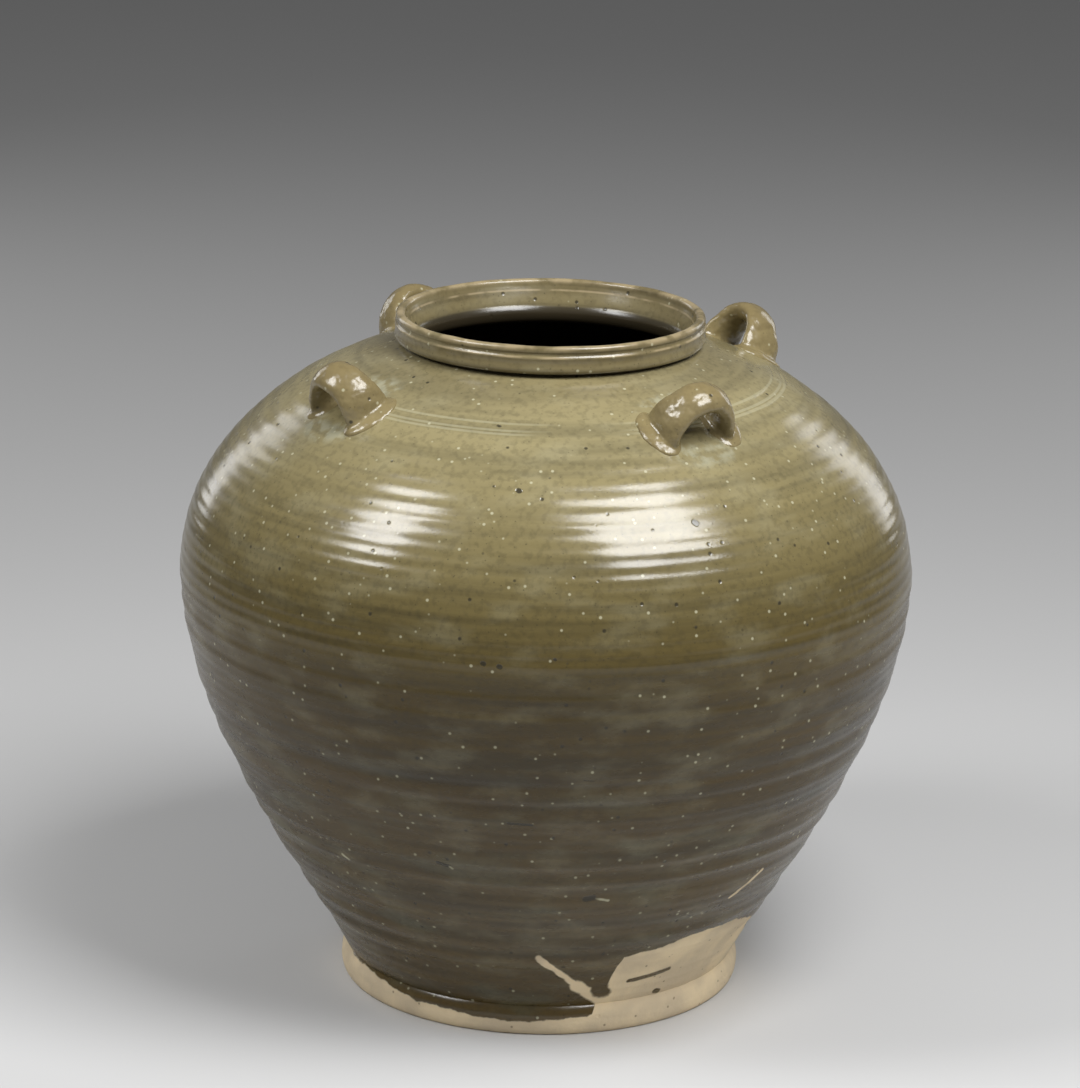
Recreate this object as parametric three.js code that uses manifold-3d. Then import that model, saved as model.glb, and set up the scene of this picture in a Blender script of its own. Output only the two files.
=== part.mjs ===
// Wheel-thrown stoneware storage jar with four loop lugs on the shoulder.
// Millimetres, +Z up. The origin is the centre of the foot, on the surface that the jar stands on.
// The jar is built as the potter builds it: a base slab with a flared foot, a wall thrown in two
// sections and luted at the belly, a collar with a rolled lip, and four lugs pressed on with slip.

import * as THREE from 'three';
import { mergeVertices } from 'three/addons/utils/BufferGeometryUtils.js';
import Module from 'manifold-3d';

const wasm = await Module();
wasm.setup();

// Foot and base slab
const restInnerRadius = 80;
const restOuterRadius = 94.6;
const undersideHollow = 2.5;
const hollowBevel = 4;
const footRadius = 97.8;
const footBulgeHeight = 6.5;
const footEdgeRounding = 1.6;
const waistRadius = 94.8;
const waistHeight = 14.4;

// Outer line of the thrown wall: the waist, the belly and the neck root, with the steepness and
// the fullness (length of the curve's handle) of the line at each of them
const bellyRadius = 176.2;
const bellyHeight = 204.3;
const neckRootRadius = 70;
const neckRootHeight = 315.2;
const flankSteepness = THREE.MathUtils.degToRad(58.6);
const flankFullness = 66.3;
const bellyFullnessBelow = 65.4;
const bellyFullnessAbove = 60.8;
const shoulderSteepness = THREE.MathUtils.degToRad(14.65);
const shoulderFullness = 51.7;

// Wall thickness, square to the outer line
const wallAtWaist = 11;
const wallAtBelly = 8;
const wallAtNeckRoot = 7.3;
const floorFilletRun = 19.5;
const floorFilletPull = 6.5;

// Collar and rolled lip, as heights above the neck root and radii
const mouthHeight = 14.8;
const throatRadius = 64;
const throatDrop = 1.7;
const throatFlare = 1;
const mouthRollRadius = 65.6;
const mouthRollRise = 2.3;
const mouthRollLean = 1;
const mouthRollCurl = 3;
const crestRadius = 71.4;
const crestThickness = 5;
const lipRadius = 74.5;
const lipBandRise = 3.4;
const lipBeadRise = 9;
const lipGrooveRise = 10.6;
const lipGrooveDepth = 0.6;
const creviceRise = 1.1;
const creviceWidth = 0.8;

// Lugs: arched straps of clay, wider and thicker at their feet
const lugCircleRadius = 112;
const lugHalfSpan = 15.4;
const lugRise = 18;
const lugCrestWidth = 19;
const lugFootWidth = 25;
const lugCrestThickness = 9;
const lugFootThickness = 11.5;
const lugRootSweep = THREE.MathUtils.degToRad(24);
const lugSquareness = 2.4;
const lugBearings = { lug_front: -90, lug_right: 0, lug_back: 90, lug_left: 180 };

// The film of slip that a lug is stuck on with
const slipGap = 0.3;

// Faceting
const facetsAround = 64;
const wallSteps = 12;
const lipSteps = 4;
const lugSteps = 18;
const lugSides = 16;
const mergeTolerance = 1e-3;
const bisections = 40;

// Two lines of the thrown wall, from the waist to the belly and from the belly to the neck root

const lowerLine = new THREE.CubicBezierCurve(
  new THREE.Vector2(waistRadius, waistHeight),
  new THREE.Vector2(
    waistRadius + flankFullness * Math.cos(flankSteepness),
    waistHeight + flankFullness * Math.sin(flankSteepness),
  ),
  new THREE.Vector2(bellyRadius, bellyHeight - bellyFullnessBelow),
  new THREE.Vector2(bellyRadius, bellyHeight),
);

const upperLine = new THREE.CubicBezierCurve(
  new THREE.Vector2(bellyRadius, bellyHeight),
  new THREE.Vector2(bellyRadius, bellyHeight + bellyFullnessAbove),
  new THREE.Vector2(
    neckRootRadius + shoulderFullness * Math.cos(shoulderSteepness),
    neckRootHeight - shoulderFullness * Math.sin(shoulderSteepness),
  ),
  new THREE.Vector2(neckRootRadius, neckRootHeight),
);

/** The exact direction of a cubic line, so that the two walls' ends at the belly lie in one plane. */
function directionAt(line, t) {
  const { v0, v1, v2, v3 } = line;
  const s = 1 - t;
  return v1.clone().sub(v0).multiplyScalar(s * s)
    .addScaledVector(v2.clone().sub(v1), 2 * s * t)
    .addScaledVector(v3.clone().sub(v2), t * t)
    .normalize();
}

/** Points of a wall line moved inwards, square to it, by a thickness that changes evenly along it. */
function offsetInwards(line, thicknessAtStart, thicknessAtEnd) {
  const points = [];
  for (let i = 0; i <= wallSteps; i++) {
    const t = i / wallSteps;
    const tangent = directionAt(line, t);
    const thickness = THREE.MathUtils.lerp(thicknessAtStart, thicknessAtEnd, t);
    const inwards = new THREE.Vector2(-tangent.y, tangent.x).multiplyScalar(thickness);
    points.push(line.getPoint(t).add(inwards));
  }
  return points;
}

/** A solid of revolution about Z from a closed outline of (radius, height) points. */
function turned(outline) {
  return new THREE.LatheGeometry([...outline, outline[0]], facetsAround).rotateX(Math.PI / 2);
}

function baseSlab() {
  const outline = new THREE.Path();
  outline.moveTo(0, undersideHollow);
  outline.lineTo(restInnerRadius - hollowBevel, undersideHollow);
  outline.lineTo(restInnerRadius, 0);
  outline.lineTo(restOuterRadius, 0);
  outline.quadraticCurveTo(restOuterRadius + footEdgeRounding, 0, footRadius, footBulgeHeight);
  outline.quadraticCurveTo(footRadius, waistHeight - footEdgeRounding, waistRadius, waistHeight);
  outline.lineTo(0, waistHeight);
  return turned(outline.getPoints(lipSteps));
}

function lowerWall() {
  const outer = lowerLine.getPoints(wallSteps);
  const inner = offsetInwards(lowerLine, wallAtWaist, wallAtBelly).slice(1).reverse();
  const lowestInner = inner[inner.length - 1];
  const fillet = new THREE.QuadraticBezierCurve(
    lowestInner,
    new THREE.Vector2(lowestInner.x - floorFilletPull, waistHeight),
    new THREE.Vector2(lowestInner.x - floorFilletRun, waistHeight),
  );
  return turned([...outer, ...inner, ...fillet.getPoints(lipSteps).slice(1)]);
}

function upperWall() {
  const outer = upperLine.getPoints(wallSteps);
  const inner = offsetInwards(upperLine, wallAtBelly, wallAtNeckRoot).reverse();
  return turned([...outer, ...inner]);
}

/** The collar stands in the shoulder's opening, against the end of its wall, and carries the lip. */
function mouthRim() {
  const wallEnd = offsetInwards(upperLine, wallAtBelly, wallAtNeckRoot).at(-1);
  const crestHeight = neckRootHeight + mouthHeight;
  const crestOuter = crestRadius + crestThickness / 2;
  const crestInner = crestRadius - crestThickness / 2;
  const outline = new THREE.Path();
  outline.moveTo(wallEnd.x, wallEnd.y);
  outline.lineTo(neckRootRadius, neckRootHeight);
  outline.lineTo(neckRootRadius + creviceWidth, neckRootHeight + creviceRise);
  outline.quadraticCurveTo(
    lipRadius, neckRootHeight + creviceRise,
    lipRadius, neckRootHeight + lipBandRise,
  );
  outline.lineTo(lipRadius, neckRootHeight + lipBeadRise);
  outline.lineTo(lipRadius - lipGrooveDepth, neckRootHeight + lipGrooveRise);
  outline.quadraticCurveTo(crestOuter, crestHeight, crestRadius, crestHeight);
  outline.quadraticCurveTo(crestInner, crestHeight, crestInner, crestHeight - crestThickness / 2);
  outline.quadraticCurveTo(
    mouthRollRadius + mouthRollLean, neckRootHeight + mouthRollRise + mouthRollCurl,
    mouthRollRadius, neckRootHeight + mouthRollRise,
  );
  outline.quadraticCurveTo(
    throatRadius, neckRootHeight,
    throatRadius, neckRootHeight - throatDrop,
  );
  outline.quadraticCurveTo(throatRadius, wallEnd.y + throatFlare, wallEnd.x, wallEnd.y);
  const points = outline.getPoints(lipSteps);
  points.pop();
  return turned(points);
}

function manifoldOf(geometry) {
  const bare = new THREE.BufferGeometry();
  bare.setAttribute('position', geometry.getAttribute('position'));
  bare.setIndex(geometry.index);
  const merged = mergeVertices(bare, mergeTolerance);
  return new wasm.Manifold(new wasm.Mesh({
    numProp: 3,
    vertProperties: merged.attributes.position.array,
    triVerts: new Uint32Array(merged.index.array),
  }));
}

function geometryOf(manifold) {
  const mesh = manifold.getMesh();
  const geometry = new THREE.BufferGeometry();
  geometry.setAttribute('position', new THREE.BufferAttribute(mesh.vertProperties, 3));
  geometry.setIndex(new THREE.BufferAttribute(mesh.triVerts, 1));
  geometry.computeVertexNormals();
  return geometry;
}

/** Where the upper line passes a radius: the point and the unit normal, as (radius, height). */
function shoulderAt(radius) {
  let low = 0;
  let high = 1;
  for (let i = 0; i < bisections; i++) {
    const middle = (low + high) / 2;
    if (upperLine.getPoint(middle).x > radius) low = middle;
    else high = middle;
  }
  const tangent = directionAt(upperLine, low);
  return { point: upperLine.getPoint(low), normal: new THREE.Vector2(tangent.y, -tangent.x) };
}

/** The body's outside, grown by the slip gap, which trims the lugs' feet. */
function bodyWithSlip() {
  const skin = offsetInwards(upperLine, -slipGap, -slipGap);
  const top = skin.at(-1);
  return manifoldOf(turned([new THREE.Vector2(0, skin[0].y), ...skin, new THREE.Vector2(0, top.y)]));
}

const signedPower = (value, power) => Math.sign(value) * Math.abs(value) ** power;

/** One lug at bearing 0: rounded sections swept along an elliptical arch that stands on the shoulder. */
function lug() {
  const seat = shoulderAt(lugCircleRadius);
  const along = new THREE.Vector3(0, 1, 0);
  const up = new THREE.Vector3(seat.normal.x, 0, seat.normal.y);
  const across = new THREE.Vector3().crossVectors(along, up);
  const origin = new THREE.Vector3(seat.point.x, 0, seat.point.y);
  const arch = new THREE.EllipseCurve(
    0, 0, lugHalfSpan, lugRise, -lugRootSweep, Math.PI + lugRootSweep,
  );
  const positions = [];
  for (let i = 0; i <= lugSteps; i++) {
    const t = i / lugSteps;
    const centre = arch.getPoint(t);
    const tangent = arch.getTangent(t);
    const legShare = Math.min(1, Math.abs(centre.x) / lugHalfSpan) ** 2;
    const width = THREE.MathUtils.lerp(lugCrestWidth, lugFootWidth, legShare);
    const thickness = THREE.MathUtils.lerp(lugCrestThickness, lugFootThickness, legShare);
    for (let k = 0; k < lugSides; k++) {
      const angle = (2 * Math.PI * k) / lugSides;
      const outwards = (thickness / 2) * signedPower(Math.cos(angle), 2 / lugSquareness);
      const sideways = (width / 2) * signedPower(Math.sin(angle), 2 / lugSquareness);
      const point = origin.clone()
        .addScaledVector(along, centre.x + tangent.y * outwards)
        .addScaledVector(up, centre.y - tangent.x * outwards)
        .addScaledVector(across, sideways);
      positions.push(point.x, point.y, point.z);
    }
  }
  const indices = [];
  for (let i = 0; i < lugSteps; i++) {
    for (let k = 0; k < lugSides; k++) {
      const a = i * lugSides + k;
      const b = i * lugSides + ((k + 1) % lugSides);
      indices.push(a, a + lugSides, b, b, a + lugSides, b + lugSides);
    }
  }
  const last = lugSteps * lugSides;
  for (let k = 1; k < lugSides - 1; k++) {
    indices.push(0, k, k + 1, last, last + k + 1, last + k);
  }
  const strap = new THREE.BufferGeometry();
  strap.setAttribute('position', new THREE.Float32BufferAttribute(positions, 3));
  strap.setIndex(indices);
  return geometryOf(manifoldOf(strap).subtract(bodyWithSlip()));
}

const glazed = new THREE.MeshStandardMaterial({ color: 0x8a8360, roughness: 0.3, metalness: 0 });
const glazedDark = new THREE.MeshStandardMaterial({ color: 0x5a5138, roughness: 0.35, metalness: 0 });
const bareClay = new THREE.MeshStandardMaterial({ color: 0xc9b58f, roughness: 0.85, metalness: 0 });

const jar = new THREE.Group();

function add(name, geometry, material) {
  const mesh = new THREE.Mesh(geometry, material);
  mesh.name = name;
  jar.add(mesh);
  return mesh;
}

add('base_slab', baseSlab(), bareClay);
add('lower_wall', lowerWall(), glazedDark);
add('upper_wall', upperWall(), glazed);
add('mouth_rim', mouthRim(), glazed);

const lugGeometry = lug();
for (const [name, bearing] of Object.entries(lugBearings)) {
  add(name, lugGeometry, glazed).rotation.z = THREE.MathUtils.degToRad(bearing);
}

export default jar;
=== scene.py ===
"""A wheel-thrown stoneware storage jar with an olive glaze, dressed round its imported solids.

Metres, +Z up, with the origin at the centre of the foot. A bearing is in degrees round +Z from +X.
"""

import logging
import math
from dataclasses import dataclass
from enum import Enum

import bpy
from mathutils import Matrix, Vector


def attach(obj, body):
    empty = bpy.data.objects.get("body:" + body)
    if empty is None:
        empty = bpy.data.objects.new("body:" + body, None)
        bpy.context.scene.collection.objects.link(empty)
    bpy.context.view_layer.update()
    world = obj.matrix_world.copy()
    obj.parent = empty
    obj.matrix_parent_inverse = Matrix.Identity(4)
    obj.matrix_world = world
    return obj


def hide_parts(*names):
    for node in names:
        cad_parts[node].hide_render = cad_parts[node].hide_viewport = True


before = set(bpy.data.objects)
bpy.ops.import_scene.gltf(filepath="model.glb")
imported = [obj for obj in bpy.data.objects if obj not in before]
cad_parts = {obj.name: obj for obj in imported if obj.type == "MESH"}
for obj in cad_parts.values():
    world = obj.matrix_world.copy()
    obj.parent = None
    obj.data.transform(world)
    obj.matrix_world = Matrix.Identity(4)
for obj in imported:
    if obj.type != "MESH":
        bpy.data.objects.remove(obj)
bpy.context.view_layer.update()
LOG = logging.getLogger("storage_jar")

Point = tuple[float, float]
Colour = tuple[float, float, float, float]


def ease(value: float) -> float:
    """Eases a share, held between 0 and 1, in and out."""
    share = min(1.0, max(0.0, value))
    return share * share * (3 - 2 * share)


@dataclass(frozen=True)
class Curve:
    """A cubic line in the plane of radius and height."""

    start: Point
    start_pull: Point
    end_pull: Point
    end: Point

    def point(self, share: float) -> Point:
        """The point at a share of the line.

        Args:
            share: from 0 at the start to 1 at the end.

        Returns:
            Radius and height.
        """
        rest = 1 - share
        weights = (rest**3, 3 * rest**2 * share, 3 * rest * share**2, share**3)
        corners = (self.start, self.start_pull, self.end_pull, self.end)
        radius = sum(w * c[0] for w, c in zip(weights, corners))
        height = sum(w * c[1] for w, c in zip(weights, corners))
        return radius, height

    def inwards(self, share: float) -> Point:
        """The unit normal towards the inside of the jar at a share of the line.

        Args:
            share: from 0 at the start to 1 at the end.

        Returns:
            Radius and height parts of the normal.
        """
        rest = 1 - share
        pulls = (
            (rest**2, self.start, self.start_pull),
            (2 * rest * share, self.start_pull, self.end_pull),
            (share**2, self.end_pull, self.end),
        )
        across = sum(w * (b[0] - a[0]) for w, a, b in pulls)
        rise = sum(w * (b[1] - a[1]) for w, a, b in pulls)
        length = math.hypot(across, rise)
        return -rise / length, across / length


def soft_corner(start: Point, corner: Point, end: Point, steps: int = 8) -> list[Point]:
    """Points of a quadratic bend after its start.

    Args:
        start: where the bend begins.
        corner: the point that pulls it.
        end: where it ends.
        steps: number of points.

    Returns:
        The points, with the end and without the start.
    """
    points = []
    for step in range(1, steps + 1):
        t = step / steps
        weights = ((1 - t) ** 2, 2 * t * (1 - t), t * t)
        corners = (start, corner, end)
        points.append(tuple(sum(w * p[i] for w, p in zip(weights, corners)) for i in (0, 1)))
    return points


@dataclass(frozen=True)
class JarSizes:
    """The jar's driving sizes."""

    height: float = 0.330
    rest_inner: float = 0.080
    rest_outer: float = 0.0946
    hollow: float = 0.0025
    foot: float = 0.0976
    foot_bulge: float = 0.0065
    waist: float = 0.0948
    waist_height: float = 0.0144
    belly: float = 0.1762
    belly_height: float = 0.2043
    neck: float = 0.070
    neck_height: float = 0.3152
    flank_angle: float = math.radians(58.6)
    flank_pull: float = 0.0663
    belly_pull_below: float = 0.0654
    belly_pull_above: float = 0.0608
    shoulder_angle: float = math.radians(14.65)
    shoulder_pull: float = 0.0517
    wall_waist: float = 0.011
    wall_belly: float = 0.008
    wall_neck: float = 0.0073
    throat: float = 0.064
    lip: float = 0.0744
    crest: float = 0.0714
    crest_half: float = 0.0026
    lug_circle: float = 0.112

    def lower(self) -> Curve:
        """The wall's line from the waist to the belly."""
        return Curve(
            (self.waist, self.waist_height),
            (
                self.waist + self.flank_pull * math.cos(self.flank_angle),
                self.waist_height + self.flank_pull * math.sin(self.flank_angle),
            ),
            (self.belly, self.belly_height - self.belly_pull_below),
            (self.belly, self.belly_height),
        )

    def upper(self) -> Curve:
        """The wall's line from the belly to the neck root."""
        return Curve(
            (self.belly, self.belly_height),
            (self.belly, self.belly_height + self.belly_pull_above),
            (
                self.neck + self.shoulder_pull * math.cos(self.shoulder_angle),
                self.neck_height - self.shoulder_pull * math.sin(self.shoulder_angle),
            ),
            (self.neck, self.neck_height),
        )

    def seat(self, height: float) -> tuple[float, Point]:
        """Where the wall's outer line passes a height.

        Args:
            height: metres above the foot.

        Returns:
            The radius there and the normal inwards.
        """
        if height <= self.waist_height:
            return self.foot, (-1.0, 0.0)
        line = self.lower() if height < self.belly_height else self.upper()
        low, high = 0.0, 1.0
        for _ in range(40):
            middle = (low + high) / 2
            if line.point(middle)[1] < height:
                low = middle
            else:
                high = middle
        return line.point(low)[0], line.inwards(low)


SIZES = JarSizes()
LUG_BEARINGS = {"right": 0, "back": 90, "left": 180, "front": -90}


@dataclass(frozen=True)
class ThrowingRings:
    """Ridges that the potter's fingers leave, deeper below the belly."""

    pitch: float = 0.0172
    fine_pitch: float = 0.0053
    depth_low: float = 0.00095
    depth_high: float = 0.00016
    fine_depth: float = 0.00016
    drift: float = 1.7
    drift_pitch: float = 0.047
    fade: float = 0.005
    deep_below: float = 0.11
    deepening: float = 0.13
    line_heights: tuple[float, ...] = (0.2979, 0.2990, 0.3012)
    line_depth: float = 0.00030
    line_half: float = 0.00042

    def depth(self, height: float) -> float:
        """How far the surface lies inside the outer line.

        Args:
            height: metres above the foot.

        Returns:
            Depth in metres, never negative.
        """
        turn = 2 * math.pi * height
        main = 0.5 - 0.5 * math.sin(turn / self.pitch + self.drift * math.sin(turn / self.drift_pitch))
        fine = 0.5 - 0.5 * math.sin(turn / self.fine_pitch)
        low = 1 - ease((height - self.deep_below) / self.deepening)
        depth = (self.depth_high + (self.depth_low - self.depth_high) * low) * main
        depth += self.fine_depth * fine
        ends = min(abs(height - SIZES.waist_height), abs(height - SIZES.neck_height))
        depth *= ease(ends / self.fade)
        for line in self.line_heights:
            depth += self.line_depth * max(0.0, 1 - abs(height - line) / self.line_half)
        return depth


class Workshop:
    """Shapes meshes with edit-mode tools."""

    @staticmethod
    def turn(name: str, outline: list[Point], steps: int = 256) -> bpy.types.Object:
        """Draws an outline vertex by vertex and spins it round the jar's axis.

        Args:
            name: the piece's name.
            outline: points of radius and height, in order.
            steps: number of facets around.

        Returns:
            The closed piece.
        """
        bpy.ops.object.select_all(action="DESELECT")
        bpy.ops.mesh.primitive_plane_add(size=0.01, location=(0, 0, 0))
        piece = bpy.context.active_object
        piece.name = name
        bpy.ops.object.mode_set(mode="EDIT")
        bpy.ops.mesh.select_all(action="SELECT")
        bpy.ops.mesh.merge(type="CENTER")
        bpy.ops.transform.translate(value=(outline[0][0], 0, outline[0][1]))
        for before, after in zip(outline, outline[1:]):
            move = (after[0] - before[0], 0, after[1] - before[1])
            bpy.ops.mesh.extrude_region_move(TRANSFORM_OT_translate={"value": move})
        bpy.ops.mesh.select_all(action="SELECT")
        bpy.ops.mesh.remove_doubles(threshold=1e-6)
        bpy.ops.mesh.spin(steps=steps, angle=2 * math.pi, center=(0, 0, 0), axis=(0, 0, 1))
        bpy.ops.mesh.select_all(action="SELECT")
        bpy.ops.mesh.remove_doubles(threshold=2e-6)
        bpy.ops.mesh.normals_make_consistent(inside=False)
        bpy.ops.object.mode_set(mode="OBJECT")
        return piece

    @staticmethod
    def smooth(piece: bpy.types.Object, angle: float = 50) -> None:
        """Shades a piece smoothly.

        Args:
            piece: the piece to shade.
            angle: bend in degrees past which an edge stays sharp.
        """
        bpy.ops.object.select_all(action="DESELECT")
        piece.select_set(True)
        bpy.context.view_layer.objects.active = piece
        bpy.ops.object.shade_smooth_by_angle(angle=math.radians(angle))

    @staticmethod
    def apply(piece: bpy.types.Object) -> None:
        """Applies all the modifiers of a piece, in order.

        Args:
            piece: the piece that has them.
        """
        bpy.ops.object.select_all(action="DESELECT")
        piece.select_set(True)
        bpy.context.view_layer.objects.active = piece
        for modifier in list(piece.modifiers):
            bpy.ops.object.modifier_apply(modifier=modifier.name)

    @staticmethod
    def unevenness(piece: bpy.types.Object, scale: float, depth: float, joints: tuple[float, ...]) -> None:
        """Adds hand-made unevenness, inwards only, which fades out at the joints.

        Args:
            piece: the piece to shape.
            scale: size of the hollows.
            depth: deepest hollow.
            joints: heights where the piece meets another.
        """
        fade = 0.012
        group = piece.vertex_groups.new(name="free")
        for vertex in piece.data.vertices:
            nearest = min((abs(vertex.co.z - joint) for joint in joints), default=fade)
            group.add([vertex.index], ease(nearest / fade), "REPLACE")
        clouds = bpy.data.textures.new(f"{piece.name}_clouds", "CLOUDS")
        clouds.noise_scale = scale
        press = piece.modifiers.new("press", "DISPLACE")
        press.texture = clouds
        press.texture_coords = "LOCAL"
        press.strength = depth
        press.mid_level = 1.0
        press.vertex_group = group.name
        Workshop.apply(piece)
        piece.vertex_groups.clear()


class MarkKind(Enum):
    """What a mark on the surface is."""

    PIT = "pit"
    PALE = "pale"
    BARE = "bare"
    DRIP = "drip"


@dataclass(frozen=True)
class Mark:
    """A spot or stroke on the jar, from one bearing and height to another."""

    kind: MarkKind
    start: Point
    end: Point
    half_width: float

    @staticmethod
    def on_jar(place: Point) -> Vector:
        """The point on the outer surface at a place.

        Args:
            place: bearing in degrees and height in metres.

        Returns:
            The point.
        """
        radius = SIZES.seat(place[1])[0]
        angle = math.radians(place[0])
        return Vector((radius * math.cos(angle), radius * math.sin(angle), place[1]))


MARKS = (
    Mark(MarkKind.PIT, (-137.4, 0.3011), (-136.9, 0.3009), 0.0013),
    Mark(MarkKind.PIT, (-130.4, 0.2798), (-130.2, 0.2796), 0.0016),
    Mark(MarkKind.PIT, (-99.3, 0.2660), (-99.0, 0.2655), 0.0015),
    Mark(MarkKind.PIT, (-134.0, 0.2090), (-133.8, 0.2088), 0.0012),
    Mark(MarkKind.PIT, (-131.6, 0.2080), (-131.4, 0.2078), 0.0011),
    Mark(MarkKind.PIT, (-123.5, 0.2119), (-123.4, 0.2117), 0.0011),
    Mark(MarkKind.PIT, (-116.0, 0.0830), (-114.5, 0.0835), 0.0021),
    Mark(MarkKind.PALE, (-114.0, 0.0830), (-111.5, 0.0815), 0.0012),
    Mark(MarkKind.PIT, (-143.8, 0.1003), (-142.4, 0.0992), 0.0020),
    Mark(MarkKind.PALE, (-141.9, 0.0985), (-141.5, 0.0975), 0.0014),
    Mark(MarkKind.PIT, (-130.4, 0.1278), (-126.6, 0.1272), 0.0010),
    Mark(MarkKind.PALE, (-166.0, 0.0930), (-164.6, 0.0910), 0.0010),
    Mark(MarkKind.PIT, (-163.0, 0.0880), (-161.0, 0.0855), 0.0010),
    Mark(MarkKind.PALE, (-160.5, 0.0840), (-159.2, 0.0830), 0.0008),
    Mark(MarkKind.PIT, (-157.5, 0.0810), (-154.5, 0.0795), 0.0009),
    Mark(MarkKind.PIT, (-167.0, 0.0830), (-165.5, 0.0815), 0.0008),
    Mark(MarkKind.PIT, (-133.5, 0.1640), (-131.5, 0.1632), 0.0007),
    Mark(MarkKind.PIT, (-118.5, 0.1520), (-117.0, 0.1515), 0.0007),
    Mark(MarkKind.BARE, (-125.2, 0.0450), (-114.7, 0.0266), 0.0022),
    Mark(MarkKind.BARE, (-114.7, 0.0266), (-106.9, 0.0166), 0.0040),
    Mark(MarkKind.BARE, (-80.5, 0.0690), (-74.0, 0.0810), 0.0013),
    Mark(MarkKind.DRIP, (-112.5, 0.0480), (-109.5, 0.0330), 0.0075),
    Mark(MarkKind.DRIP, (-109.5, 0.0330), (-107.5, 0.0215), 0.0050),
    Mark(MarkKind.DRIP, (-100.0, 0.0262), (-88.0, 0.0290), 0.0018),
    Mark(MarkKind.DRIP, (-89.5, 0.0165), (-88.5, 0.0160), 0.0018),
)

GLAZE_EDGE = (
    (-180, 0.0130),
    (-160, 0.0090),
    (-145, 0.0082),
    (-129, 0.0068),
    (-118, 0.0085),
    (-110, 0.0090),
    (-107, 0.0200),
    (-104, 0.0440),
    (-95, 0.0455),
    (-86, 0.0500),
    (-72, 0.0500),
    (-59, 0.0430),
    (-46, 0.0260),
    (-30, 0.0120),
    (0, 0.0090),
    (60, 0.0125),
    (110, 0.0085),
    (150, 0.0150),
    (180, 0.0130),
)


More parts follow.
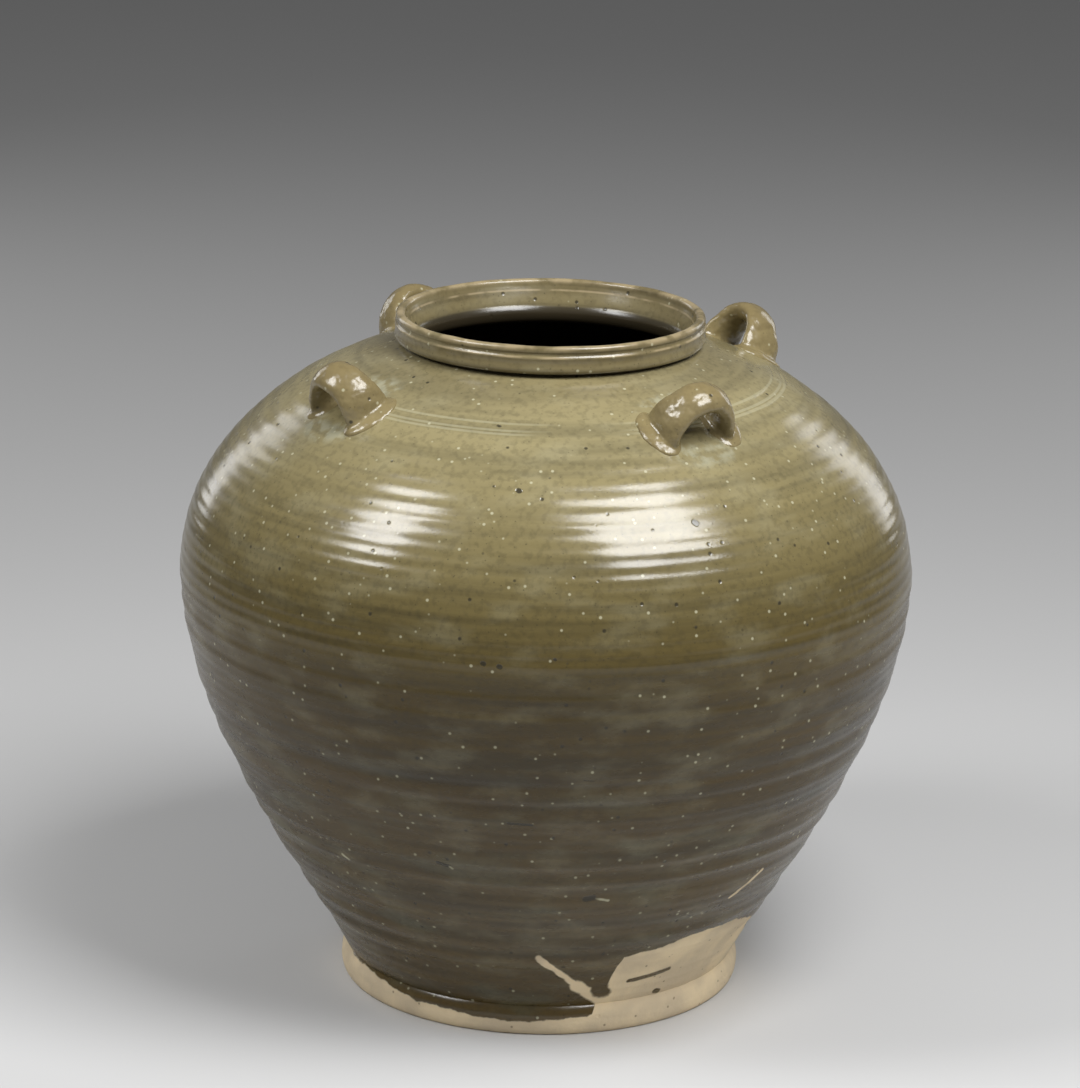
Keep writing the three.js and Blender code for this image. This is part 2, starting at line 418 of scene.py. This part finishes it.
class Graph:
    """Builds the shader of one material."""

    def __init__(self, name: str) -> None:
        """Starts a material with a principled shader and its object coordinates.

        Args:
            name: the material's name.
        """
        self.material = bpy.data.materials.new(name)
        self.material.use_nodes = True
        self.tree = self.material.node_tree
        self.shader = self.tree.nodes["Principled BSDF"]
        self.place = self.tree.nodes.new("ShaderNodeTexCoord").outputs["Object"]

    def feed(self, socket: bpy.types.NodeSocket, value: object) -> None:
        """Links a socket, or sets its own value.

        Args:
            socket: the input to fill.
            value: an output to link, or a plain value.
        """
        if isinstance(value, bpy.types.NodeSocket):
            self.tree.links.new(value, socket)
        else:
            socket.default_value = value

    def math(self, operation: str, first: object, second: object = 0.0) -> bpy.types.NodeSocket:
        """Works out one operation on two numbers.

        Args:
            operation: the math node's operation.
            first: a number or an output.
            second: a number or an output.

        Returns:
            The result.
        """
        node = self.tree.nodes.new("ShaderNodeMath")
        node.operation = operation
        self.feed(node.inputs[0], first)
        self.feed(node.inputs[1], second)
        return node.outputs[0]

    def times(self, *factors: object) -> bpy.types.NodeSocket:
        """Multiplies two or more numbers, from left to right.

        Args:
            factors: numbers or outputs.

        Returns:
            The product.
        """
        product = factors[0]
        for factor in factors[1:]:
            product = self.math("MULTIPLY", product, factor)
        return product

    def vector(
        self,
        operation: str,
        first: object,
        second: object,
        output: str = "Vector",
    ) -> bpy.types.NodeSocket:
        """Works out one operation on two vectors.

        Args:
            operation: the vector math node's operation.
            first: a vector or an output.
            second: a vector or an output.
            output: Vector, or Value where the result is a number.

        Returns:
            The result.
        """
        node = self.tree.nodes.new("ShaderNodeVectorMath")
        node.operation = operation
        self.feed(node.inputs[0], first)
        self.feed(node.inputs[1], second)
        return node.outputs[output]

    def axes(self) -> tuple[bpy.types.NodeSocket, ...]:
        """X, Y and Z of the place, each as a number."""
        node = self.tree.nodes.new("ShaderNodeSeparateXYZ")
        self.feed(node.inputs[0], self.place)
        return tuple(node.outputs)

    def noise(
        self,
        scale: float,
        stretch: tuple[float, float, float] = (1, 1, 1),
        detail: float = 3,
    ) -> bpy.types.NodeSocket:
        """Noise from 0 to 1.

        Args:
            scale: features to the metre.
            stretch: a factor on the scale along each axis.
            detail: number of finer layers.

        Returns:
            The noise.
        """
        node = self.tree.nodes.new("ShaderNodeTexNoise")
        self.feed(node.inputs["Vector"], self.vector("MULTIPLY", self.place, stretch))
        node.inputs["Scale"].default_value = scale
        node.inputs["Detail"].default_value = detail
        return node.outputs[0]

    def specks(self, scale: float, size: float, share: float) -> bpy.types.NodeSocket:
        """Scattered round specks.

        Args:
            scale: cells to the metre.
            size: radius of a speck as a share of its cell.
            share: share of the cells that have one.

        Returns:
            A mask, 1 in the middle of a speck.
        """
        node = self.tree.nodes.new("ShaderNodeTexVoronoi")
        self.feed(node.inputs["Vector"], self.place)
        node.inputs["Scale"].default_value = scale
        colour = self.tree.nodes.new("ShaderNodeSeparateColor")
        self.feed(colour.inputs[0], node.outputs["Color"])
        near = self.step(node.outputs["Distance"], size, size * 0.4)
        chosen = self.math("LESS_THAN", colour.outputs[0], share)
        return self.times(near, chosen)

    def step(self, value: object, zero_at: float, one_at: float) -> bpy.types.NodeSocket:
        """A smooth step between two values, which rises or falls.

        Args:
            value: the number to test.
            zero_at: where the step is 0.
            one_at: where the step is 1.

        Returns:
            A share from 0 to 1.
        """
        node = self.tree.nodes.new("ShaderNodeMapRange")
        node.interpolation_type = "SMOOTHSTEP"
        self.feed(node.inputs["Value"], value)
        node.inputs["From Min"].default_value = min(zero_at, one_at)
        node.inputs["From Max"].default_value = max(zero_at, one_at)
        node.inputs["To Min"].default_value = 0.0 if zero_at < one_at else 1.0
        node.inputs["To Max"].default_value = 1.0 if zero_at < one_at else 0.0
        return node.outputs[0]

    def ramp(self, value: object, stops: list[tuple[float, Colour]]) -> bpy.types.NodeSocket:
        """A colour for each value from 0 to 1.

        Args:
            value: the number to look up.
            stops: values and their colours, in rising order.

        Returns:
            The colour.
        """
        node = self.tree.nodes.new("ShaderNodeValToRGB")
        self.feed(node.inputs[0], value)
        elements = node.color_ramp.elements
        while len(elements) < len(stops):
            elements.new(0.5)
        for element, (position, colour) in zip(elements, stops):
            element.position = position
            element.color = colour
        return node.outputs[0]

    def blend(self, share: object, first: object, second: object) -> bpy.types.NodeSocket:
        """Mixes two colours.

        Args:
            share: share of the second colour.
            first: a colour or an output.
            second: a colour or an output.

        Returns:
            The mixed colour.
        """
        node = self.tree.nodes.new("ShaderNodeMix")
        node.data_type = "RGBA"
        self.feed(node.inputs[0], share)
        self.feed(node.inputs[6], first)
        self.feed(node.inputs[7], second)
        return node.outputs[2]

    def stroke(self, mark: Mark, wobble: object) -> bpy.types.NodeSocket:
        """The mask of a mark, with an uneven edge.

        Args:
            mark: the mark.
            wobble: noise about 0 that moves its edge.

        Returns:
            A mask, 1 inside the mark.
        """
        start = Mark.on_jar(mark.start)
        along = Mark.on_jar(mark.end) - start
        share = self.vector(
            "DOT_PRODUCT",
            self.vector("SUBTRACT", self.place, start),
            along / along.length_squared,
            "Value",
        )
        held = self.math("MINIMUM", self.math("MAXIMUM", share, 0.0), 1.0)
        scaled = self.tree.nodes.new("ShaderNodeVectorMath")
        scaled.operation = "SCALE"
        scaled.inputs[0].default_value = along
        self.feed(scaled.inputs["Scale"], held)
        nearest = self.vector("ADD", scaled.outputs["Vector"], start)
        distance = self.vector("DISTANCE", self.place, nearest, "Value")
        uneven = self.math("ADD", distance, self.times(wobble, mark.half_width))
        return self.step(uneven, mark.half_width * 1.1, mark.half_width * 0.7)


@dataclass(frozen=True)
class Glaze:
    """The olive glaze, where it stops short of the foot, and what is bare there, with painted shade inside
    the jar and under the lip.
    """

    name: str
    roughness: float = 0.2
    gloss_index: float = 1.52
    warmth: float = 0.0
    shade: float = 0.0
    # hollow: paints the inside of the jar near black, which is painted shade
    hollow: bool = True
    marked: bool = True
    lugs_near: bool = False
    # rim: the worn crest and bead of the lip, and painted shade in the crevice under it
    rim: bool = False
    pale: Colour = (0.46, 0.44, 0.30, 1)
    dark: Colour = (0.030, 0.026, 0.016, 1)
    blue: Colour = (0.150, 0.175, 0.125, 1)
    warm: Colour = (0.300, 0.215, 0.085, 1)
    worn: Colour = (0.44, 0.35, 0.21, 1)
    clay: Colour = (0.800, 0.655, 0.430, 1)
    clay_grey: Colour = (0.620, 0.510, 0.350, 1)
    clay_spots: Colour = (0.12, 0.07, 0.035, 1)
    pooled: Colour = (0.420, 0.430, 0.330, 1)
    # inside: the near-black colour of the painted shade inside the jar
    inside: Colour = (0.032, 0.025, 0.014, 1)

    def body(self, graph: Graph, height: bpy.types.NodeSocket) -> bpy.types.NodeSocket:
        """The glaze's colour: paler up the jar, streaked along the throwing rings.

        Args:
            graph: the shader being built.
            height: metres above the foot.

        Returns:
            The colour.
        """
        tones = [
            (0.00, (0.105, 0.070, 0.022, 1)),
            (0.25, (0.092, 0.062, 0.020, 1)),
            (0.45, (0.066, 0.042, 0.010, 1)),
            (0.58, (0.074, 0.050, 0.012, 1)),
            (0.70, (0.132, 0.103, 0.039, 1)),
            (0.80, (0.198, 0.163, 0.074, 1)),
            (0.91, (0.268, 0.229, 0.118, 1)),
            (1.00, (0.172, 0.138, 0.066, 1)),
        ]
        colour = graph.ramp(graph.math("DIVIDE", height, SIZES.height), tones)
        bands = graph.step(graph.noise(1.0, (7, 7, 210), 4), 0.40, 0.72)
        colour = graph.blend(graph.times(bands, 0.34), colour, self.dark)
        broad = graph.step(graph.noise(1.0, (6, 6, 100), 4), 0.44, 0.66)
        under_belly = graph.step(height, 0.215, 0.170)
        colour = graph.blend(graph.times(broad, under_belly, 0.45), colour, self.dark)
        runs = graph.step(graph.noise(1.0, (26, 26, 75), 5), 0.50, 0.70)
        low = graph.step(height, 0.19, 0.09)
        colour = graph.blend(graph.times(runs, low, 0.20), colour, self.blue)
        mottle = graph.step(graph.noise(34, (1, 1, 2.4), 6), 0.46, 0.72)
        colour = graph.blend(graph.times(mottle, 0.12), colour, self.pale)
        grain = graph.step(graph.noise(330, detail=4), 0.45, 0.68)
        colour = graph.blend(graph.times(grain, 0.22), colour, self.dark)
        colour = graph.blend(self.shade, colour, self.dark)
        return graph.blend(self.warmth, colour, self.warm)

    def spots(self, graph: Graph, colour: object, pits: object) -> bpy.types.NodeSocket:
        """Adds pale pinholes, dark freckles and dark pits.

        Args:
            graph: the shader being built.
            colour: the colour so far.
            pits: the mask of the pits.

        Returns:
            The colour with its spots.
        """
        pinholes = graph.specks(190, 0.19, 0.42)
        colour = graph.blend(graph.times(pinholes, 0.72), colour, self.pale)
        freckles = graph.specks(420, 0.22, 0.36)
        colour = graph.blend(graph.times(freckles, 0.40), colour, self.dark)
        return graph.blend(graph.times(pits, 0.85), colour, self.dark)

    def pools(self, graph: Graph) -> bpy.types.NodeSocket:
        """The pale glaze that pools round the lugs' feet.

        Args:
            graph: the shader being built.

        Returns:
            A mask, 1 in the pools.
        """
        pool_height = 0.298
        nearest = None
        for bearing in LUG_BEARINGS.values():
            angle = math.radians(bearing)
            across = SIZES.lug_circle * math.cos(angle)
            along = SIZES.lug_circle * math.sin(angle)
            seat = Vector((across, along, pool_height))
            distance = graph.vector("DISTANCE", graph.place, seat, "Value")
            nearest = distance if nearest is None else graph.math("MINIMUM", nearest, distance)
        ring = graph.times(graph.step(nearest, 0.0275, 0.021), graph.step(nearest, 0.010, 0.016))
        return graph.times(ring, graph.step(graph.noise(140, detail=4), 0.42, 0.62))

    def shoulder(self, graph: Graph, height: object, colour: object) -> bpy.types.NodeSocket:
        """Adds the pools round the lugs, and thin pale glaze along the incised lines.

        Args:
            graph: the shader being built.
            height: metres above the foot.
            colour: the colour so far.

        Returns:
            The colour of the shoulder.
        """
        colour = graph.blend(graph.times(self.pools(graph), 0.40), colour, self.pooled)
        for line in ThrowingRings().line_heights:
            off = graph.math("ABSOLUTE", graph.math("SUBTRACT", height, line))
            broken = graph.step(graph.noise(14), 0.38, 0.55)
            cut = graph.times(graph.step(off, 0.0005, 0.0002), broken)
            colour = graph.blend(graph.times(cut, 0.30), colour, self.pale)
        return colour

    def worn_rim_and_crevice_shade(self, graph: Graph, height: object, colour: object) -> bpy.types.NodeSocket:
        """Adds the worn crest and bead of the lip, and painted shade in the crevice under it.

        Args:
            graph: the shader being built.
            height: metres above the foot.
            colour: the colour so far.

        Returns:
            The colour of the lip.
        """
        bead_height = 0.3246
        crest = graph.step(height, 0.3268, 0.3292)
        off_bead = graph.math("ABSOLUTE", graph.math("SUBTRACT", height, bead_height))
        bead = graph.step(off_bead, 0.0007, 0.0002)
        patchy = graph.step(graph.noise(90), 0.35, 0.6)
        thin = graph.times(graph.math("MAXIMUM", crest, bead), patchy)
        colour = graph.blend(graph.times(thin, 0.50), colour, self.worn)
        # Painted shade: the crevice under the rolled lip is darkened
        crevice = graph.step(height, 0.3176, 0.3164)
        return graph.blend(graph.times(crevice, 0.8), colour, self.dark)

    def bare(self, graph: Graph, bearing: object, height: object, wobble: object) -> bpy.types.NodeSocket:
        """The clay that the glaze leaves bare.

        Args:
            graph: the shader being built.
            bearing: radians round the axis.
            height: metres above the foot.
            wobble: noise about 0 that moves the edge.

        Returns:
            A mask, 1 on bare clay.
        """
        top = 0.06
        stops = [
            (degrees / 360 + 0.5, (edge / top, edge / top, edge / top, 1))
            for degrees, edge in GLAZE_EDGE
        ]
        turn = graph.math("ADD", graph.math("DIVIDE", bearing, 2 * math.pi), 0.5)
        line = graph.times(graph.ramp(turn, stops), top)
        above = graph.math("SUBTRACT", height, line)
        above = graph.math("ADD", above, graph.times(wobble, 0.0035))
        mask = graph.step(above, 0.0004, -0.0004)
        if self.marked:
            for mark in MARKS:
                if mark.kind is MarkKind.BARE:
                    mask = graph.math("MAXIMUM", mask, graph.stroke(mark, wobble))
            for mark in MARKS:
                if mark.kind is MarkKind.DRIP:
                    left = graph.math("SUBTRACT", 1.0, graph.stroke(mark, wobble))
                    mask = graph.times(mask, left)
        return mask

    def clay_body(self, graph: Graph) -> bpy.types.NodeSocket:
        """The bare clay's colour, with greyer patches and iron spots.

        Args:
            graph: the shader being built.

        Returns:
            The colour.
        """
        greyer = graph.step(graph.noise(38, detail=4), 0.35, 0.65)
        clay = graph.blend(greyer, self.clay, self.clay_grey)
        iron = graph.specks(260, 0.22, 0.2)
        return graph.blend(graph.times(iron, 0.6), clay, self.clay_spots)

    def inner(self, graph: Graph, height: object) -> bpy.types.NodeSocket:
        """Painted shade: the inside of the jar, where the surface faces the axis, is painted near black.

        Args:
            graph: the shader being built.
            height: metres above the foot.

        Returns:
            A mask, 1 on the inside.
        """
        normal = graph.tree.nodes.new("ShaderNodeNewGeometry").outputs["Normal"]
        flat = graph.vector("MULTIPLY", graph.place, (1, 1, 0))
        outwards = graph.vector("NORMALIZE", flat, (0, 0, 0))
        facing = graph.vector("DOT_PRODUCT", normal, outwards, "Value")
        below_lip = graph.step(height, SIZES.height - 0.010, SIZES.height - 0.016)
        above_foot = graph.step(height, 0.006, 0.012)
        return graph.times(graph.step(facing, 0.0, -0.15), below_lip, above_foot)

    def surface(self, graph: Graph, bare: object, relief: object) -> None:
        """Sets the gloss and the fine relief.

        Args:
            graph: the shader being built.
            bare: the mask of the bare clay.
            relief: depth of the pits and marks.
        """
        graph.shader.inputs["IOR"].default_value = self.gloss_index
        cloudy = graph.times(graph.noise(60, (1, 1, 3), 4), 0.16)
        gloss = graph.math("ADD", cloudy, self.roughness - 0.05)
        dull = graph.times(bare, 0.62)
        graph.feed(graph.shader.inputs["Roughness"], graph.math("ADD", gloss, dull))
        bump = graph.tree.nodes.new("ShaderNodeBump")
        bump.inputs["Strength"].default_value = 0.5
        bump.inputs["Distance"].default_value = 0.0004
        skin = graph.times(graph.noise(900, detail=2), 0.16)
        gritty = graph.times(graph.noise(420, detail=5), bare)
        lower = graph.times(bare, -1.0)
        total = graph.math("ADD", graph.math("ADD", relief, skin), graph.math("ADD", gritty, lower))
        graph.feed(bump.inputs["Height"], total)
        graph.feed(graph.shader.inputs["Normal"], bump.outputs[0])

    def make(self) -> bpy.types.Material:
        """Builds the finish.

        Returns:
            The material.
        """
        graph = Graph(self.name)
        x, y, height = graph.axes()
        bearing = graph.math("ARCTAN2", y, x)
        wobble = graph.math("SUBTRACT", graph.noise(150, detail=4), 0.5)
        pits = graph.specks(130, 0.16, 0.34)
        colour = self.spots(graph, self.body(graph, height), pits)
        relief = graph.times(pits, -0.7)
        if self.lugs_near:
            colour = self.shoulder(graph, height, colour)
        if self.marked:
            for mark in MARKS:
                if mark.kind in (MarkKind.PIT, MarkKind.PALE):
                    mask = graph.stroke(mark, wobble)
                    tint = self.dark if mark.kind is MarkKind.PIT else self.pale
                    colour = graph.blend(graph.times(mask, 0.9), colour, tint)
                    relief = graph.math("SUBTRACT", relief, mask)
        if self.rim:
            colour = self.worn_rim_and_crevice_shade(graph, height, colour)
        bare = self.bare(graph, bearing, height, wobble)
        colour = graph.blend(bare, colour, self.clay_body(graph))
        # Painted shade: the inside of the jar is painted near black
        if self.hollow:
            colour = graph.blend(self.inner(graph, height), colour, self.inside)
        graph.feed(graph.shader.inputs["Base Color"], colour)
        self.surface(graph, bare, relief)
        return graph.material


@dataclass
class Foot:
    """The base slab with its flared, rounded edge and a slightly hollow underside."""

    name: str = "jar_foot"

    def build(self) -> bpy.types.Object:
        """Builds the foot and dresses it.

        Returns:
            The piece.
        """
        size = SIZES
        start = (0.0, size.hollow)
        outline = [start]
        outline += [(size.rest_inner * share / 10, size.hollow) for share in range(1, 10)]
        bevel = (size.rest_inner - 0.002, size.hollow)
        outline += soft_corner(outline[-1], bevel, (size.rest_inner, 0.0), 6)
        outline.append((size.rest_outer, 0.0))
        bulge = (size.foot, size.foot_bulge)
        outline += soft_corner(outline[-1], (size.foot - 0.0004, 0.0002), bulge, 14)
        waist = (size.waist, size.waist_height)
        outline += soft_corner(bulge, (size.foot, size.waist_height - 0.0030), waist, 14)
        outline += [(size.waist * share / 10, size.waist_height) for share in range(9, -1, -1)]
        piece = Workshop.turn(self.name, outline)
        Workshop.unevenness(piece, 0.011, 0.0011, (0.0, size.waist_height))
        Workshop.smooth(piece)
        piece.data.materials.append(Glaze("foot_finish").make())
        return piece


@dataclass
class Wall:
    """One thrown section of the wall, with its throwing rings."""

    name: str
    line: Curve
    thickness: Point
    finish: Glaze
    steps: int
    floor: bool = False
    inner_steps: int = 36
    fillet_rise: float = 0.018
    fillet_pull: float = 0.0065
    fillet_run: float = 0.0195

    def build(self) -> bpy.types.Object:
        """Builds the section and dresses it.

        Returns:
            The piece.
        """
        rings = ThrowingRings()
        outline = []
        for step in range(self.steps + 1):
            share = step / self.steps
            point = self.line.point(share)
            normal = self.line.inwards(share)
            depth = rings.depth(point[1])
            outline.append((point[0] + normal[0] * depth, point[1] + normal[1] * depth))
        inner = []
        for step in range(self.inner_steps, -1, -1):
            share = step / self.inner_steps
            point = self.line.point(share)
            normal = self.line.inwards(share)
            thick = self.thickness[0] + (self.thickness[1] - self.thickness[0]) * share
            inner.append((point[0] + normal[0] * thick, point[1] + normal[1] * thick))
        if self.floor:
            inner = [p for p in inner if p[1] > SIZES.waist_height + self.fillet_rise]
            last = inner[-1]
            pull = (last[0] - self.fillet_pull, SIZES.waist_height)
            inner += soft_corner(last, pull, (last[0] - self.fillet_run, SIZES.waist_height))
        outline += inner
        outline.append(outline[0])
        piece = Workshop.turn(self.name, outline)
        ends = (self.line.start[1], self.line.end[1])
        Workshop.unevenness(piece, 0.045, 0.0009, ends)
        Workshop.smooth(piece)
        piece.data.materials.append(self.finish.make())
        return piece


@dataclass
class Mouth:
    """The collar with its rolled lip and the ridge inside the throat."""

    name: str = "jar_mouth"

    def build(self) -> bpy.types.Object:
        """Builds the collar and dresses it.

        Returns:
            The piece.
        """
        size = SIZES
        line = size.upper()
        normal = line.inwards(1.0)
        end = line.end
        inner_end = (end[0] + normal[0] * size.wall_neck, end[1] + normal[1] * size.wall_neck)
        base = size.neck_height
        outline = [inner_end, end, (size.neck + 0.0008, base + 0.0011)]
        band = (size.lip - 0.0003, base + 0.0040)
        bead = (size.lip - 0.0003, base + 0.0083)
        groove = (size.lip - 0.0008, base + 0.0102)
        over_groove = (size.lip - 0.0006, base + 0.0117)
        crest = (size.crest, size.height)
        inside = (size.crest - size.crest_half, size.height - 0.0026)
        roll = (0.0656, base + 0.0023)
        throat = (size.throat, base - 0.0017)
        bends = (
            ((size.lip - 0.0002, base + 0.0011), band, 8),
            ((size.lip - 0.0009, base + 0.0062), bead, 8),
            ((size.lip + 0.0001, base + 0.0094), groove, 6),
            ((size.lip - 0.0013, base + 0.0109), over_groove, 6),
            ((size.crest + size.crest_half, size.height), crest, 8),
            ((size.crest - size.crest_half, size.height), inside, 8),
            ((0.0664, base + 0.0056), roll, 12),
            ((size.throat, base), throat, 8),
            ((size.throat, inner_end[1] + 0.001), inner_end, 8),
        )
        for pull, bend_end, steps in bends:
            outline += soft_corner(outline[-1], pull, bend_end, steps)
        piece = Workshop.turn(self.name, outline)
        Workshop.unevenness(piece, 0.018, 0.0006, (base, inner_end[1]))
        Workshop.smooth(piece, 60)
        finish = Glaze("mouth_finish", marked=False, rim=True, warmth=0.06, shade=0.12)
        piece.data.materials.append(finish.make())
        return piece


@dataclass
class Lug:
    """An arched strap of clay, smeared onto the shoulder at its feet."""

    name: str
    bearing: float
    half_span: float = 0.0154
    rise: float = 0.0180
    crest_width: float = 0.0195
    foot_width: float = 0.0250
    thickness: float = 0.0095
    sweep: float = math.radians(10)
    seat_height: float = 0.2983
    smear_reach: float = 0.0012
    smear_sink: float = 0.0022
    smear_shift: float = 0.0004
    smear_size: tuple[float, float, float] = (0.0158, 0.0100, 0.0040)
    voxel: float = 0.00055

    def strap(self) -> bpy.types.Object:
        """Spins an oval section into an arch that stands on the plane z = 0.

        Returns:
            The strap.
        """
        bpy.ops.object.select_all(action="DESELECT")
        bpy.ops.mesh.primitive_circle_add(vertices=32, radius=1, location=(0, self.half_span, 0))
        piece = bpy.context.active_object
        piece.name = self.name
        piece.scale = (self.foot_width / 2, self.thickness / 2, 1)
        bpy.ops.object.transform_apply(location=True, rotation=True, scale=True)
        bpy.ops.object.mode_set(mode="EDIT")
        bpy.ops.mesh.select_all(action="SELECT")
        around = math.pi + 2 * self.sweep
        bpy.ops.mesh.spin(steps=48, angle=around, center=(0, 0, 0), axis=(1, 0, 0))
        bpy.ops.mesh.select_all(action="SELECT")
        bpy.ops.mesh.fill_holes(sides=0)
        bpy.ops.mesh.normals_make_consistent(inside=False)
        bpy.ops.object.mode_set(mode="OBJECT")
        top = max(v.co.z for v in piece.data.vertices)
        bottom = min(v.co.z for v in piece.data.vertices)
        turn = -self.sweep if top > -bottom else self.sweep
        upright = 1 if top > -bottom else -1
        stretch = Matrix.Diagonal((1, 1, upright * self.rise / self.half_span, 1))
        piece.matrix_world = stretch @ Matrix.Rotation(turn, 4, "X")
        bpy.ops.object.transform_apply(location=True, rotation=True, scale=True)
        bpy.ops.object.mode_set(mode="EDIT")
        bpy.ops.mesh.select_all(action="SELECT")
        bpy.ops.mesh.normals_make_consistent(inside=False)
        bpy.ops.object.mode_set(mode="OBJECT")
        return piece

    def narrow_crest(self, piece: bpy.types.Object) -> None:
        """Pulls the strap's edges in towards its crest.

        Args:
            piece: the strap.
        """
        for vertex in piece.data.vertices:
            share = ease(vertex.co.z / self.rise)
            vertex.co.x *= 1 + (self.crest_width / self.foot_width - 1) * share

    def build(self) -> bpy.types.Object:
        """Builds the lug in its place and dresses it.

        Returns:
            The piece.
        """
        piece = self.strap()
        self.narrow_crest(piece)
        smears = []
        reach = self.half_span + self.smear_reach
        for side in (-1, 1):
            bpy.ops.mesh.primitive_uv_sphere_add(
                segments=32,
                ring_count=16,
                radius=1,
                location=(self.smear_shift * side, side * reach, -self.smear_sink),
                scale=self.smear_size,
            )
            smears.append(bpy.context.active_object)
        bpy.ops.object.select_all(action="DESELECT")
        for part in (*smears, piece):
            part.select_set(True)
        bpy.context.view_layer.objects.active = piece
        bpy.ops.object.join()
        radius, normal = SIZES.seat(self.seat_height)
        slope = math.atan2(-normal[0], -normal[1])
        seat = Matrix.Translation((radius, 0, self.seat_height))
        turned = Matrix.Rotation(math.radians(self.bearing), 4, "Z")
        piece.matrix_world = turned @ seat @ Matrix.Rotation(slope, 4, "Y")
        bpy.ops.object.transform_apply(location=True, rotation=True, scale=True)
        blend = piece.modifiers.new("blend", "REMESH")
        blend.mode = "VOXEL"
        blend.voxel_size = self.voxel
        soften = piece.modifiers.new("soften", "SMOOTH")
        soften.factor = 0.5
        soften.iterations = 14
        Workshop.apply(piece)
        Workshop.unevenness(piece, 0.007, 0.0011, ())
        Workshop.smooth(piece, 80)
        finish = Glaze(
            f"{self.name}_finish",
            roughness=0.19,
            warmth=0.30,
            shade=0.34,
            hollow=False,
            marked=False,
        )
        piece.data.materials.append(finish.make())
        return piece


class Jar:
    """The whole jar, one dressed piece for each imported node."""

    def build(self) -> None:
        """Builds the pieces in the order in which the potter joins them."""
        lower = Wall(
            "jar_lower_wall",
            SIZES.lower(),
            (SIZES.wall_waist, SIZES.wall_belly),
            Glaze("lower_wall_finish", roughness=0.24, gloss_index=1.42),
            240,
            floor=True,
        )
        upper = Wall(
            "jar_upper_wall",
            SIZES.upper(),
            (SIZES.wall_belly, SIZES.wall_neck),
            Glaze("upper_wall_finish", roughness=0.16, lugs_near=True),
            230,
        )
        pieces = {
            "base_slab": (Foot(), "bare_clay"),
            "lower_wall": (lower, "glaze_lower"),
            "upper_wall": (upper, "glaze_upper"),
            "mouth_rim": (Mouth(), "glaze_rim"),
        }
        for side in ("front", "right", "back", "left"):
            pieces[f"lug_{side}"] = (Lug(f"jar_lug_{side}", LUG_BEARINGS[side]), "glaze_lug")
        for node, (maker, slot) in pieces.items():
            piece = maker.build()
            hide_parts(node)
            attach(piece, "root")
            LOG.info("%s has %d faces", piece.name, len(piece.data.polygons))


@dataclass(frozen=True)
class Studio:
    """The pale sweep, the soft lights and the camera of the photograph."""

    camera_distance: float = 2.0648
    camera_height: float = 0.8095
    camera_bearing: float = math.radians(-125)
    pitch: float = 0.28045
    roll: float = 0.01826
    focal_pixels: float = 4460.8
    picture_long_side: float = 1088
    picture_shift: float = 6.43

    def camera(self) -> None:
        """Places the camera."""
        data = bpy.data.cameras.new("camera")
        data.lens = data.sensor_width * self.focal_pixels / self.picture_long_side
        data.shift_x = -self.picture_shift / self.picture_long_side
        camera = bpy.data.objects.new("camera", data)
        bpy.context.scene.collection.objects.link(camera)
        turn = Matrix.Rotation(self.camera_bearing + math.pi / 2, 4, "Z")
        tilt = Matrix.Rotation(math.pi / 2 - self.pitch, 4, "X")
        place = Matrix.Translation(
            (
                self.camera_distance * math.cos(self.camera_bearing),
                self.camera_distance * math.sin(self.camera_bearing),
                self.camera_height,
            )
        )
        camera.matrix_world = place @ turn @ tilt @ Matrix.Rotation(self.roll, 4, "Z")
        bpy.context.scene.camera = camera

    def softbox(self, name: str, towards: tuple[float, float, float], size: Point, power: float) -> None:
        """Adds a soft rectangular light.

        Args:
            name: the light's name.
            towards: where it is from the jar, as right of, behind and above it, from the camera.
            size: width and height.
            power: in watts.
        """
        data = bpy.data.lights.new(name, "AREA")
        data.shape = "RECTANGLE"
        data.size, data.size_y = size
        data.energy = power
        light = bpy.data.objects.new(name, data)
        bpy.context.scene.collection.objects.link(light)
        target = Vector((0, 0, 0.2))
        turn = Matrix.Rotation(self.camera_bearing + math.pi / 2, 3, "Z")
        light.location = target + turn @ Vector(towards)
        light.rotation_euler = (target - light.location).to_track_quat("-Z", "Y").to_euler()

    def sweep(self) -> None:
        """Adds the floor, a flat plane."""
        bpy.ops.object.select_all(action="DESELECT")
        bpy.ops.mesh.primitive_plane_add(size=14, location=(0, 0, 0))
        floor = bpy.context.active_object
        floor.name = "studio_floor"
        paper = bpy.data.materials.new("paper")
        paper.use_nodes = True
        shader = paper.node_tree.nodes["Principled BSDF"]
        shader.inputs["Base Color"].default_value = (0.56, 0.56, 0.56, 1)
        shader.inputs["Roughness"].default_value = 0.9
        floor.data.materials.append(paper)

    def build(self) -> None:
        """Sets the stage."""
        self.sweep()
        self.softbox("key", (0.52, -0.52, 1.02), (0.66, 0.66), 20)
        self.softbox("fill", (-0.84, -0.38, 0.95), (0.38, 0.56), 10)
        self.softbox("rim_left", (-1.2, 1.5, 0.45), (0.4, 1.0), 3)
        self.softbox("rim_right", (1.2, 1.5, 0.45), (0.4, 1.0), 3)
        world = bpy.data.worlds.new("room")
        world.use_nodes = True
        sky = world.node_tree.nodes["Background"]
        sky.inputs["Color"].default_value = (0.80, 0.80, 0.80, 1)
        sky.inputs["Strength"].default_value = 0.17
        bpy.context.scene.world = world
        bpy.context.scene.view_settings.view_transform = "Standard"
        self.camera()


def main() -> None:
    """Builds the jar and its studio."""
    logging.basicConfig(level=logging.INFO)
    Jar().build()
    Studio().build()
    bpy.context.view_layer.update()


if __name__ == "__main__":
    main()
